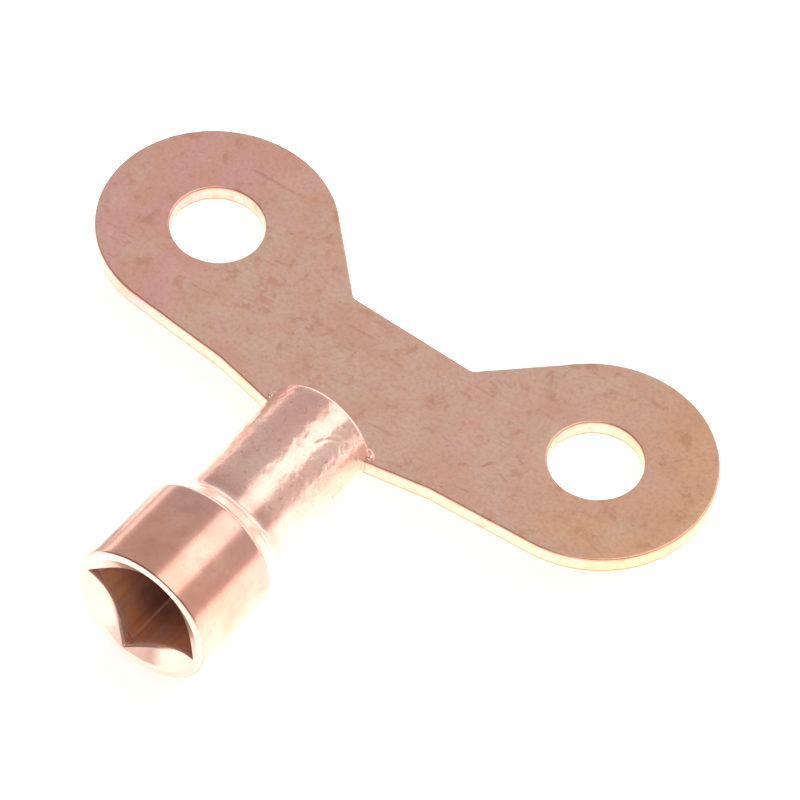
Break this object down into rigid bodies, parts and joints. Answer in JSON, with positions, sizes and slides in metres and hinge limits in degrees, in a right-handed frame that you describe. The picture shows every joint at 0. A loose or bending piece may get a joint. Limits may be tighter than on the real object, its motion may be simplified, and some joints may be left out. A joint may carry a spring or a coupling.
{
  "type": "radiator bleed key",
  "caption": "Brass radiator bleed key: a flat two-lobed handle plate with a finger hole in each lobe, brazed to a turned barrel with a square socket.",
  "frame": {"origin": "centre of the square socket's mouth, on the barrel's axis", "axes": "+Y along the barrel from the mouth to the handle plate, X along the two wings of the plate, +Z out of the plate's upper face"},
  "size_m": [0.0408, 0.0315, 0.009],
  "materials": {
    "plate_brass": "stamped sheet, satin, faintly tarnished",
    "barrel_brass": "turned bar, bright, with a slightly pitted neck",
    "braze_metal": "brazing filler, smooth and bright"
  },
  "bodies": {
    "root": {"handle_plate": "plate_brass", "barrel": "barrel_brass", "braze_fillet": "braze_metal"}
  },
  "joints": []
}
